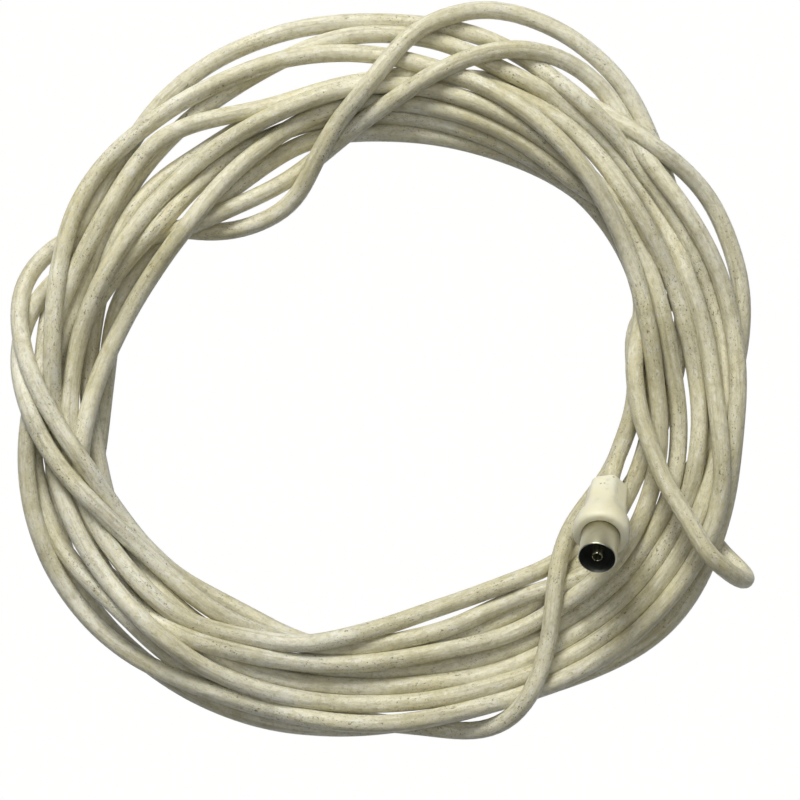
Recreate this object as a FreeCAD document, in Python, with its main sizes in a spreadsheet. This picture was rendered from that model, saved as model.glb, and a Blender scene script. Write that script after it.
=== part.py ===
import FreeCAD, Part

import math
import os

import Sketcher

# A television aerial lead, wound by hand into a loose flat coil: one moulded
# socket stands up out of the turns, and the moulded plug lies under them.
# Frame: +Z up, millimetres, the floor at Z 0 and the origin under the middle.

os.makedirs("parts", exist_ok=True)
doc = FreeCAD.newDocument("aerial_lead")

# ---------------------------------------------------------------- dimensions
sheet = doc.addObject("Spreadsheet::Sheet", "sizes")

DIMENSIONS = [
    # the cable: core, dielectric, braid and jacket
    ("cable_radius", 2.5),
    ("braid_radius", 1.9),
    ("dielectric_radius", 1.6),
    ("core_radius", 0.35),
    # the coil of turns
    ("coil_height", 16.0),
    ("coil_centre_x", -2.15),
    ("coil_centre_y", -2.05),
    ("hairpin_length", 26.0),
    ("hairpin_width", 10.0),
    ("hairpin_height", 9.0),
    # both connectors share these lengths, measured from the cable entry
    ("entry_depth", 6.0),
    ("grip_length", 26.5),
    ("hexagon_length", 17.0),
    ("shoulder_start", 15.0),
    ("shoulder_end", 21.5),
    ("shell_start", 17.0),
    ("shell_end", 36.0),
    ("insulator_start", 18.0),
    ("insulator_end", 22.0),
    ("crimp_start", 7.0),
    ("crimp_end", 12.0),
    ("braid_end", 12.1),
    ("dielectric_end", 12.3),
    ("solder_start", 12.6),
    ("tail_start", 14.0),
    ("core_end", 15.0),
    ("mould_start", 12.4),
    # radii inside both grips
    ("entry_radius", 2.55),
    ("cavity_radius", 3.1),
    ("crimp_bore", 1.95),
    ("crimp_radius", 2.9),
    ("mould_radius", 3.05),
    ("mould_bore", 1.08),
    ("solder_radius", 1.0),
    ("solder_bore", 0.37),
    ("tail_radius", 1.0),
    ("tail_bore", 0.4),
    ("corner_radius", 0.9),
    # the socket
    ("socket_rear_apothem", 4.7),
    ("socket_front_apothem", 5.9),
    ("socket_flare_radius", 7.75),
    ("socket_shell_bore", 4.8),
    ("socket_shell_radius", 5.15),
    ("socket_contact_radius", 1.5),
    ("socket_contact_bore", 1.2),
    ("socket_contact_floor", 25.0),
    ("socket_contact_end", 35.5),
    ("socket_slit_width", 0.3),
    # the plug
    ("plug_rear_apothem", 4.4),
    ("plug_front_apothem", 5.3),
    ("plug_flare_radius", 5.8),
    ("plug_shell_bore", 4.4),
    ("plug_shell_radius", 4.75),
    ("plug_pin_radius", 1.18),
    ("plug_pin_end", 36.5),
    ("plug_pin_taper", 1.4),
    ("plug_pin_tip_radius", 0.5),
    ("plug_slot_width", 0.6),
    ("plug_slot_floor", 29.0),
    # short grip ribs on the upper flat of the socket
    ("rib_width", 0.7),
    ("rib_length", 3.4),
    ("rib_rise", 0.3),
    ("rib_start", 3.5),
    ("rib_pitch", 2.2),
    # where the two cable entries are, and how far the socket stands up
    ("socket_x", 62.5),
    ("socket_y", -30.0),
    ("socket_z", 11.0),
    ("socket_bearing", 197.0),
    ("socket_rise", 54.0),
    ("plug_x", -71.2),
    ("plug_y", -62.5),
    ("plug_z", 5.9),
    ("plug_bearing", 128.0),
    ("plug_rise", 0.0),
    ("plug_tail_length", 12.0),
    ("channel_clearance", 0.6),
]
for row, (alias, value) in enumerate(DIMENSIONS, start=1):
    sheet.set("A%d" % row, alias)
    sheet.set("B%d" % row, str(value))
    sheet.setAlias("B%d" % row, alias)
doc.recompute()


def size(alias):
    """Read one number back from the sheet."""
    return float(sheet.get(alias))


# ------------------------------------------------------------------ placing
def heading(bearing, rise):
    """Unit vector: bearing is clockwise from +Y, rise is above the floor."""
    b = math.radians(bearing)
    e = math.radians(rise)
    return FreeCAD.Vector(math.sin(b) * math.cos(e), math.cos(b) * math.cos(e), math.sin(e))


def connector_placement(kind):
    """Local +Z runs from the cable entry to the mouth; local +Y is its upper side."""
    axis = heading(size(kind + "_bearing"), size(kind + "_rise"))
    side = axis.cross(FreeCAD.Vector(0, 0, -1)).normalize()
    upper = axis.cross(side).normalize()
    turn = FreeCAD.Rotation(side, upper, axis, "ZXY")
    base = FreeCAD.Vector(size(kind + "_x"), size(kind + "_y"), size(kind + "_z"))
    return FreeCAD.Placement(base, turn)


def along(kind, distance):
    """The point on a connector's axis at a distance from its cable entry."""
    return connector_placement(kind).multVec(FreeCAD.Vector(0, 0, distance))


# ------------------------------------------------------------ sketch helpers
def new_body(name, placement):
    body = doc.addObject("PartDesign::Body", name)
    body.Label = name
    body.Placement = placement
    return body


def plane(body, role):
    return [o for o in body.Origin.OriginFeatures if o.Role == role][0]


def new_sketch(body, name, role, offset=None):
    """A sketch on one of the body's own planes, lifted by a cell's value."""
    sketch = body.newObject("Sketcher::SketchObject", name)
    sketch.AttachmentSupport = [(plane(body, role), "")]
    sketch.MapMode = "FlatFace"
    if offset:
        sketch.setExpression("AttachmentOffset.Base.z", "sizes." + offset)
    return sketch


def bind(sketch, kind, geometry, vertex, expression):
    """Hold one vertex at a distance from the origin that an expression gives."""
    if expression == "0":
        edge = -2 if kind == "DistanceX" else -1
        sketch.addConstraint(Sketcher.Constraint("PointOnObject", geometry, vertex, edge))
        return
    held = sketch.addConstraint(Sketcher.Constraint(kind, -1, 1, geometry, vertex, 1.0))
    sketch.setExpression("Constraints[%d]" % held, expression)


def value_of(expression):
    """The number that a sheet expression made of sums stands for."""
    total = 0.0
    for term in expression.replace("- ", "+ -").split("+ "):
        term = term.strip()
        sign = -1.0 if term.startswith("-") else 1.0
        term = term.lstrip("-").strip()
        number = size(term.split(".", 1)[1]) if term.startswith("sizes.") else float(term)
        total += sign * number
    return total


def cell(alias):
    return "sizes." + alias


def profile(sketch, corners):
    """A closed outline whose corners are (x, y) pairs of sheet expressions."""
    spots = [FreeCAD.Vector(value_of(x), value_of(y), 0) for x, y in corners]
    count = len(corners)
    for i in range(count):
        sketch.addGeometry(Part.LineSegment(spots[i], spots[(i + 1) % count]), False)
    for i in range(count):
        after = (i + 1) % count
        sketch.addConstraint(Sketcher.Constraint("Coincident", i, 2, after, 1))
    for i, (x, y) in enumerate(corners):
        bind(sketch, "DistanceX", i, 1, x)
        bind(sketch, "DistanceY", i, 1, y)


def revolved(name, kind, corners, subtract=False, body=None):
    """Turn an outline (radius, height) about the connector's axis."""
    body = body or new_body(name, connector_placement(kind))
    what = "Groove" if subtract else "Revolution"
    sketch = new_sketch(body, name + "_" + what.lower() + "_outline", "XZ_Plane")
    profile(sketch, corners)
    turned = body.newObject("PartDesign::" + what, name + "_" + what.lower())
    turned.Profile = sketch
    turned.ReferenceAxis = (sketch, ["V_Axis"])
    turned.Angle = 360.0
    sketch.Visibility = False
    doc.recompute()
    return body


def ring(name, kind, inner, outer, start, end):
    """A plain turned ring, or a plain rod where inner is 0."""
    low, high = cell(start), cell(end)
    near = "0" if inner == "0" else cell(inner)
    corners = [(near, low), (cell(outer), low), (cell(outer), high), (near, high)]
    return revolved(name, kind, corners)


def hexagon(sketch, apothem):
    """A hexagon with a flat upper side and rounded corners."""
    flat = size(apothem)
    bend = size("corner_radius")
    reach = (flat - bend) / math.cos(math.radians(30))
    half_side = reach / 2
    for i in range(6):
        normal = math.radians(90 + 60 * i)
        out = FreeCAD.Vector(math.cos(normal), math.sin(normal), 0)
        way = FreeCAD.Vector(-math.sin(normal), math.cos(normal), 0)
        first = out * flat - way * half_side
        last = out * flat + way * half_side
        corner = math.radians(120 + 60 * i)
        hub = FreeCAD.Vector(math.cos(corner), math.sin(corner), 0) * reach
        circle = Part.Circle(hub, FreeCAD.Vector(0, 0, 1), bend)
        sketch.addGeometry(Part.LineSegment(first, last), False)
        sketch.addGeometry(Part.ArcOfCircle(circle, normal, normal + math.radians(60)), False)


# ------------------------------------------------------- connector sub-parts
def make_grip(kind):
    """The moulded grip: a rounded hexagon that swells into a round flare."""
    name = kind + "_grip"
    body = new_body(name, connector_placement(kind))
    rear = new_sketch(body, name + "_rear", "XY_Plane")
    hexagon(rear, kind + "_rear_apothem")
    front = new_sketch(body, name + "_front", "XY_Plane", "hexagon_length")
    hexagon(front, kind + "_front_apothem")
    hull = body.newObject("PartDesign::AdditiveLoft", name + "_hexagon")
    hull.Profile = rear
    hull.Sections = [front]
    hull.Ruled = True
    doc.recompute()
    shoulder = cell("shoulder_start")
    flare = cell(kind + "_flare_radius")
    throat = cell(kind + "_rear_apothem")
    revolved(name, kind, [
        ("0", shoulder),
        (throat, shoulder),
        (flare, cell("shoulder_end")),
        (flare, cell("grip_length") + " - 0.5"),
        (flare + " - 0.5", cell("grip_length")),
        ("0", cell("grip_length")),
    ], body=body)
    if kind == "socket":
        add_ribs(body)
    shell = cell(kind + "_shell_radius")
    over = cell("grip_length") + " + 1"
    revolved(name, kind, [
        ("0", "-1"),
        (cell("entry_radius"), "-1"),
        (cell("entry_radius"), cell("entry_depth")),
        (cell("cavity_radius"), cell("entry_depth")),
        (cell("cavity_radius"), cell("shell_start")),
        (shell, cell("shell_start")),
        (shell, over),
        ("0", over),
    ], subtract=True, body=body)
    return body


def add_ribs(body):
    """Three short finger ribs across the upper flat of the socket's grip."""
    bar = new_sketch(body, "grip_rib_outline", "XY_Plane", "rib_start")
    half = size("rib_length") / 2
    low = size("socket_rear_apothem") - 0.5
    high = low + 0.7 + size("rib_rise")
    spots = [(-half, low), (half, low), (half, high), (-half, high)]
    for i in range(4):
        first = FreeCAD.Vector(spots[i][0], spots[i][1], 0)
        last = FreeCAD.Vector(spots[(i + 1) % 4][0], spots[(i + 1) % 4][1], 0)
        bar.addGeometry(Part.LineSegment(first, last), False)
    rib = body.newObject("PartDesign::Pad", "grip_rib")
    rib.Profile = bar
    rib.setExpression("Length", cell("rib_width"))
    doc.recompute()
    row = body.newObject("PartDesign::LinearPattern", "grip_rib_row")
    row.Originals = [rib]
    row.Direction = (bar, ["N_Axis"])
    row.setExpression("Length", cell("rib_pitch") + " * 2")
    row.Occurrences = 3
    body.Tip = row
    doc.recompute()


def cross_slots(body, name, width, floor, top):
    """Two slots at right angles, sawn down from the open end of a tube."""
    half = size(width) / 2
    reach = 12.0
    sketch = new_sketch(body, name + "_slot_outline", "XZ_Plane")
    spots = [(-half, size(floor)), (half, size(floor)), (half, size(top) + 1), (-half, size(top) + 1)]
    for i in range(4):
        first = FreeCAD.Vector(spots[i][0], spots[i][1], 0)
        last = FreeCAD.Vector(spots[(i + 1) % 4][0], spots[(i + 1) % 4][1], 0)
        sketch.addGeometry(Part.LineSegment(first, last), False)
    slot = body.newObject("PartDesign::Pocket", name + "_slot")
    slot.Profile = sketch
    slot.Midplane = True
    slot.Length = 2 * reach
    doc.recompute()
    around = body.newObject("PartDesign::PolarPattern", name + "_slots")
    around.Originals = [slot]
    around.Axis = (sketch, ["V_Axis"])
    around.Angle = 180.0
    around.Occurrences = 2
    body.Tip = around
    doc.recompute()


def make_shell(kind):
    """The outer contact: a tube that stands out of the flare."""
    name = kind + "_outer_contact"
    bore, outer = cell(kind + "_shell_bore"), cell(kind + "_shell_radius")
    start, end = cell("shell_start"), cell("shell_end")
    body = revolved(name, kind, [
        (bore, start),
        (outer, start),
        (outer, end + " - 0.3"),
        (outer + " - 0.15", end),
        (bore, end),
    ])
    if kind == "plug":
        cross_slots(body, name, "plug_slot_width", "plug_slot_floor", "shell_end")
    return body


def make_insulator(kind):
    """The white disc that holds the centre contact in the outer one."""
    centre = "socket_contact_radius" if kind == "socket" else "plug_pin_radius"
    return ring(kind + "_insulator", kind, centre, kind + "_shell_bore",
                "insulator_start", "insulator_end")


def make_socket_contact():
    """The hollow centre contact, with a solder cup at its back."""
    name = "socket_centre_contact"
    tail, cup = cell("tail_radius"), cell("tail_bore")
    outer, bore = cell("socket_contact_radius"), cell("socket_contact_bore")
    end = cell("socket_contact_end")
    body = revolved(name, "socket", [
        (cup, cell("tail_start")),
        (tail, cell("tail_start")),
        (tail, cell("insulator_start")),
        (outer, cell("insulator_start")),
        (outer, end + " - 0.2"),
        (outer + " - 0.2", end),
        (bore, end),
        (bore, cell("socket_contact_floor")),
        ("0", cell("socket_contact_floor")),
        ("0", cell("core_end")),
        (cup, cell("core_end")),
    ])
    cross_slots(body, name, "socket_slit_width", "insulator_end", "shell_end")
    return body


def make_plug_pin():
    """The solid centre pin with a tapered tip and a solder cup."""
    tail, cup = cell("tail_radius"), cell("tail_bore")
    pin, end = cell("plug_pin_radius"), cell("plug_pin_end")
    return revolved("plug_centre_pin", "plug", [
        (cup, cell("tail_start")),
        (tail, cell("tail_start")),
        (tail, cell("insulator_start")),
        (pin, cell("insulator_start")),
        (pin, end + " - " + cell("plug_pin_taper")),
        (cell("plug_pin_tip_radius"), end),
        ("0", end),
        ("0", cell("core_end")),
        (cup, cell("core_end")),
    ])


def make_connector(kind):
    """All the pieces of one moulded connector."""
    pieces = [make_grip(kind), make_shell(kind), make_insulator(kind)]
    pieces.append(make_socket_contact() if kind == "socket" else make_plug_pin())
    pieces.append(ring(kind + "_crimp_ring", kind, "crimp_bore", "crimp_radius",
                       "crimp_start", "crimp_end"))
    pieces.append(ring(kind + "_inner_mould", kind, "mould_bore", "mould_radius",
                       "mould_start", "shell_start"))
    pieces.append(ring(kind + "_solder", kind, "solder_bore", "solder_radius",
                       "solder_start", "tail_start"))
    pieces.append(ring(kind + "_braid", kind, "dielectric_radius", "braid_radius",
                       "entry_depth", "braid_end"))
    pieces.append(ring(kind + "_dielectric", kind, "core_radius", "dielectric_radius",
                       "entry_depth", "dielectric_end"))
    pieces.append(ring(kind + "_core", kind, "0", "core_radius", "entry_depth", "core_end"))
    return pieces


# -------------------------------------------------------------- cable tubes
def rounded_path(points):
    """Straight runs joined by arcs that touch both of them; prints the radii."""
    edges = []
    start = points[0]
    for before, corner, after in zip(points, points[1:], points[2:]):
        inward = (corner - before).normalize()
        outward = (after - corner).normalize()
        half = math.acos(max(-1.0, min(1.0, inward.dot(outward)))) / 2
        run = min((corner - before).Length, (after - corner).Length)
        back = 0.45 * run
        radius = back / math.tan(half)
        print("cable bend radius %.1f mm" % radius)
        first = corner - inward * back
        last = corner + outward * back
        bisector = (outward - inward).normalize()
        hub = corner + bisector * (radius / math.cos(half))
        middle = hub - bisector * radius
        edges.append(Part.LineSegment(start, first).toShape())
        edges.append(Part.Arc(first, middle, last).toShape())
        start = last
    edges.append(Part.LineSegment(start, points[-1]).toShape())
    return Part.Wire(edges)


def tube(name, points):
    """A cable stretch: a round section swept along a rounded path."""
    wire = rounded_path(points)
    first = wire.Edges[0]
    way = first.tangentAt(first.FirstParameter)
    circle = Part.Wire(Part.Circle(points[0], way, size("cable_radius")).toShape())
    solid = wire.makePipeShell([circle], True, False)
    item = doc.addObject("Part::Feature", name)
    item.Label = name
    item.Shape = solid
    ideal = math.pi * size("cable_radius") ** 2 * wire.Length
    print("%s: volume %.1f, section times length %.1f" % (name, solid.Volume, ideal))
    return item


# the lead leaves the inner side of the coil, lies on the floor and turns up
lead_points = [
    FreeCAD.Vector(67.8, -4.7, 2.6),
    FreeCAD.Vector(65.9, -18.9, 2.6),
    along("socket", -4.8),
    along("socket", size("entry_depth")),
]
tail_points = [
    along("plug", -size("plug_tail_length")),
    along("plug", size("entry_depth")),
]

# ---------------------------------------------------------------- the coil
# Outer and inner edge of the wound turns, every 15 degrees clockwise from +Y.
OUTER_EDGE = [
    101.0, 109.5, 112.0, 106.5, 107.5, 107.5, 103.0, 103.5,
    108.0, 107.0, 101.5, 104.5, 100.0, 102.5, 105.0, 107.0,
    107.5, 104.0, 102.5, 105.0, 100.0, 99.0, 102.5, 102.0,
]
INNER_EDGE = [
    66.0, 67.0, 70.0, 74.0, 76.0, 74.0, 71.0, 72.0,
    68.0, 67.0, 65.5, 64.5, 67.5, 72.5, 73.5, 76.5,
    79.0, 78.5, 73.5, 70.0, 65.5, 57.5, 51.5, 62.5,
]
HAIRPIN_BEARING = 118.3
HAIRPIN_START = 96.0


def coil_spot(bearing, radius, height=0.0):
    b = math.radians(bearing)
    x = size("coil_centre_x") + radius * math.sin(b)
    y = size("coil_centre_y") + radius * math.cos(b)
    return FreeCAD.Vector(x, y, height)


def closed_edge(radii):
    step = 360.0 / len(radii)
    spots = [coil_spot(i * step, radius) for i, radius in enumerate(radii)]
    curve = Part.BSplineCurve()
    curve.interpolate(spots, PeriodicFlag=True)
    return Part.Wire(curve.toShape())


def block_along(start, end, width, height):
    """An upright block on the floor whose long side runs from start to end."""
    way = (end - start).normalize()
    side = FreeCAD.Vector(-way.y, way.x, 0) * (width / 2)
    base = [start + side, end + side, end - side, start - side, start + side]
    return Part.Face(Part.makePolygon(base)).extrude(FreeCAD.Vector(0, 0, height))


def make_coil():
    """One closed solid for all the turns, open where the connectors lie."""
    tall = FreeCAD.Vector(0, 0, size("coil_height"))
    outer = Part.Face(closed_edge(OUTER_EDGE)).extrude(tall)
    inner = Part.Face(closed_edge(INNER_EDGE)).extrude(tall)
    solid = outer.cut(inner)
    # the tight bight that sticks out beyond the turns
    root = coil_spot(HAIRPIN_BEARING, HAIRPIN_START)
    bight_width = size("hairpin_width")
    reach = size("hairpin_length") - bight_width / 2
    tip = coil_spot(HAIRPIN_BEARING, HAIRPIN_START + reach)
    solid = solid.fuse(block_along(root, tip, bight_width, size("hairpin_height")))
    solid = solid.fuse(Part.makeCylinder(bight_width / 2, size("hairpin_height"), tip))
    # room for the lead and the leaning socket on the inner side
    start = lead_points[0]
    way = (lead_points[1] - start).normalize()
    room = block_along(start, start + way * 62.0, 17.5, 60.0)
    solid = solid.cut(room)
    # room for the plug and its short tail under the turns
    tail = tail_points[0]
    mouth = along("plug", size("plug_pin_end") + 1.5)
    floor_tail = FreeCAD.Vector(tail.x, tail.y, 0)
    floor_mouth = FreeCAD.Vector(mouth.x, mouth.y, 0)
    clear = 2 * (size("plug_flare_radius") + size("channel_clearance"))
    solid = solid.cut(block_along(floor_tail, floor_mouth, clear, clear))
    coil = doc.addObject("Part::Feature", "coil")
    coil.Label = "coil"
    coil.Shape = solid.removeSplitter()
    return coil


# ------------------------------------------------------------ build, export
items = make_connector("socket") + make_connector("plug")
items.append(tube("socket_lead", lead_points))
items.append(tube("plug_lead", tail_points))
items.append(make_coil())
doc.recompute()

box = FreeCAD.BoundBox()
for item in items:
    shape = item.Shape
    if "Invalid" in item.State or "Error" in item.State:
        raise RuntimeError("%s did not compute" % item.Label)
    if shape.isNull() or not shape.isValid() or len(shape.Solids) != 1:
        raise RuntimeError("%s is not one valid solid" % item.Label)
    box.add(shape.BoundBox)
    shape.exportStep("parts/%s.step" % item.Label)
print("%d parts, X %.2f to %.2f, Y %.2f to %.2f, Z %.2f to %.2f" % (
    len(items), box.XMin, box.XMax, box.YMin, box.YMax, box.ZMin, box.ZMax))
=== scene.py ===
# %% [markdown]
# # A coiled aerial lead
# The object is an ivory coaxial lead for a television aerial, wound by hand into a loose flat
# coil. One end is a moulded socket that leans up out of the turns. The other end, a moulded plug,
# lies under them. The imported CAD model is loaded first, because every piece made here is placed
# by it.

# %% Load the frame
import math

import bmesh
import bpy
import numpy as np
from mathutils import Matrix, Vector


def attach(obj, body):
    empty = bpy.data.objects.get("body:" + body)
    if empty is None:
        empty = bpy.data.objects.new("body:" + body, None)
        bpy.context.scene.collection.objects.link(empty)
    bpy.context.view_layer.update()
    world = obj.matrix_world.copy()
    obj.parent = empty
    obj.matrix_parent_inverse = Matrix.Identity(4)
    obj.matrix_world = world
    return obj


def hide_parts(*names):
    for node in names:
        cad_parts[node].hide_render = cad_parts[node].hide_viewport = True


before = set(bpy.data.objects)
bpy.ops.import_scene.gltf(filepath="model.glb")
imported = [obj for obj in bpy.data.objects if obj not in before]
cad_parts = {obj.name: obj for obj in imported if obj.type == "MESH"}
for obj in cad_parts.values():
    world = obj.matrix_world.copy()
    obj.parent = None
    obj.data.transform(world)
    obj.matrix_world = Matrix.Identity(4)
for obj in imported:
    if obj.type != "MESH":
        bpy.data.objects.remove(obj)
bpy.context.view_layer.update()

# %% [markdown]
# ## Camera, table and light
# The coil lies on a lit white table and is looked at from straight above, about 0.65 m up. A
# long lens keeps the perspective weak. The table is a plane that glows softly, so the gaps
# between the turns stay bright, and two large soft lamps shape the turns from above.

# %% Camera
MM = 0.001
EYE_HEIGHT = 0.65
EYE_X, EYE_Y = 4.07 * MM, -8.27 * MM
SENSOR = 36.0
FOCAL_LENGTH = 103.5

camera_data = bpy.data.cameras.new("camera")
camera_data.sensor_width = SENSOR
camera_data.lens = FOCAL_LENGTH
camera_data.clip_start = 0.01
camera = bpy.data.objects.new("camera", camera_data)
camera.location = (EYE_X, EYE_Y, EYE_HEIGHT)
bpy.context.scene.collection.objects.link(camera)
bpy.context.scene.camera = camera
print("camera looks straight down from", EYE_HEIGHT, "m")

# %% [markdown]
# The table could be a diffuse plane under strong lamps, but its glow would then change with every
# shadow. An even emission is simpler and keeps it plain. It is told to cast no shadow and not to
# light the turns from below, so that their undersides stay dark where they touch.

# %% Table
TABLE_WIDTH = 3.0


def stage_plane(name, size, height, brightness):
    """A big flat plane that glows evenly and is not part of the object."""
    bpy.ops.object.select_all(action="DESELECT")
    bpy.ops.mesh.primitive_plane_add(size=size, location=(0, 0, height))
    plane = bpy.context.active_object
    plane.name = name
    material = bpy.data.materials.new(name)
    material.use_nodes = True
    tree = material.node_tree
    tree.nodes.clear()
    glow = tree.nodes.new("ShaderNodeEmission")
    glow.inputs["Color"].default_value = (1.0, 1.0, 0.995, 1)
    glow.inputs["Strength"].default_value = brightness
    output = tree.nodes.new("ShaderNodeOutputMaterial")
    tree.links.new(glow.outputs[0], output.inputs["Surface"])
    plane.data.materials.append(material)
    return plane


table = stage_plane("table", TABLE_WIDTH, -0.4 * MM, 1.0)
table.visible_diffuse = False
table.visible_shadow = False
print("table:", table.name, TABLE_WIDTH, "m wide, just under the turns")

# %% [markdown]
# One broad lamp stands beyond the top of the coil and a little to the left, quite low, so the
# round turns have a bright side and a shaded side. A second one overhead fills the shadows. The
# world is a soft grey all round.

# %% Lamps
def area_lamp(name, place, target, width, power, colour=(1, 1, 1)):
    """A square soft lamp at a place, aimed at a target."""
    light = bpy.data.lights.new(name, "AREA")
    light.shape = "SQUARE"
    light.size = width
    light.energy = power
    light.color = colour
    lamp = bpy.data.objects.new(name, light)
    lamp.location = place
    lamp.rotation_euler = (Vector(target) - Vector(place)).to_track_quat("-Z", "Y").to_euler()
    bpy.context.scene.collection.objects.link(lamp)
    return lamp


area_lamp("key_lamp", (-0.25, 0.95, 0.75), (0, 0, 0), 0.5, 14.0, (1.0, 0.992, 0.96))
area_lamp("top_lamp", (0.15, 0.05, 1.3), (0, 0, 0), 0.9, 4.0)

world = bpy.data.worlds.new("soft_grey")
world.use_nodes = True
world.node_tree.nodes["Background"].inputs["Color"].default_value = (0.95, 0.97, 1.0, 1)
world.node_tree.nodes["Background"].inputs["Strength"].default_value = 0.12
bpy.context.scene.world = world
bpy.context.scene.view_settings.view_transform = "Standard"

# %% [markdown]
# ## The lead
# The real lead is a 5 mm round coaxial cable with a soft PVC jacket, about six metres of it.
# Nearly all of it is in sight, so its length comes from its turns. It is one object made of one
# line: a NURBS spline led by listed points, then a round tube about that line.
#
# A coil could be a helix with a little noise, but turns thrown down by hand are not like that.
# They fan out, cross and dive under one another, so every turn is written down on its own. The
# first comes out of the plug, and every other one starts at the top of the coil. All go
# clockwise round its middle. A point is a bearing in degrees, a distance from the middle in
# millimetres, and a layer that says which turn lies on top where two cross. A fourth value is a
# height in millimetres that the lead springs up to there, and it never settles below it.

# %% Facts of the lead
DIAMETER = 5.0 * MM
RADIUS = DIAMETER / 2
COIL_X, COIL_Y = -2.15 * MM, -2.05 * MM


def heading(bearing, rise):
    """Unit vector from a bearing, clockwise from +Y, and a rise above the table, in degrees."""
    b, e = math.radians(bearing), math.radians(rise)
    return Vector((math.sin(b) * math.cos(e), math.cos(b) * math.cos(e), math.sin(e)))


SOCKET_ENTRY = Vector((62.5, -30.0, 11.0)) * MM
SOCKET_WAY = heading(197.0, 54.0)
PLUG_ENTRY = Vector((-71.2, -62.5, 5.9)) * MM
PLUG_WAY = heading(128.0, 0.0)
print("lead: diameter", DIAMETER, "socket leans along", [round(c, 3) for c in SOCKET_WAY])

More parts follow.
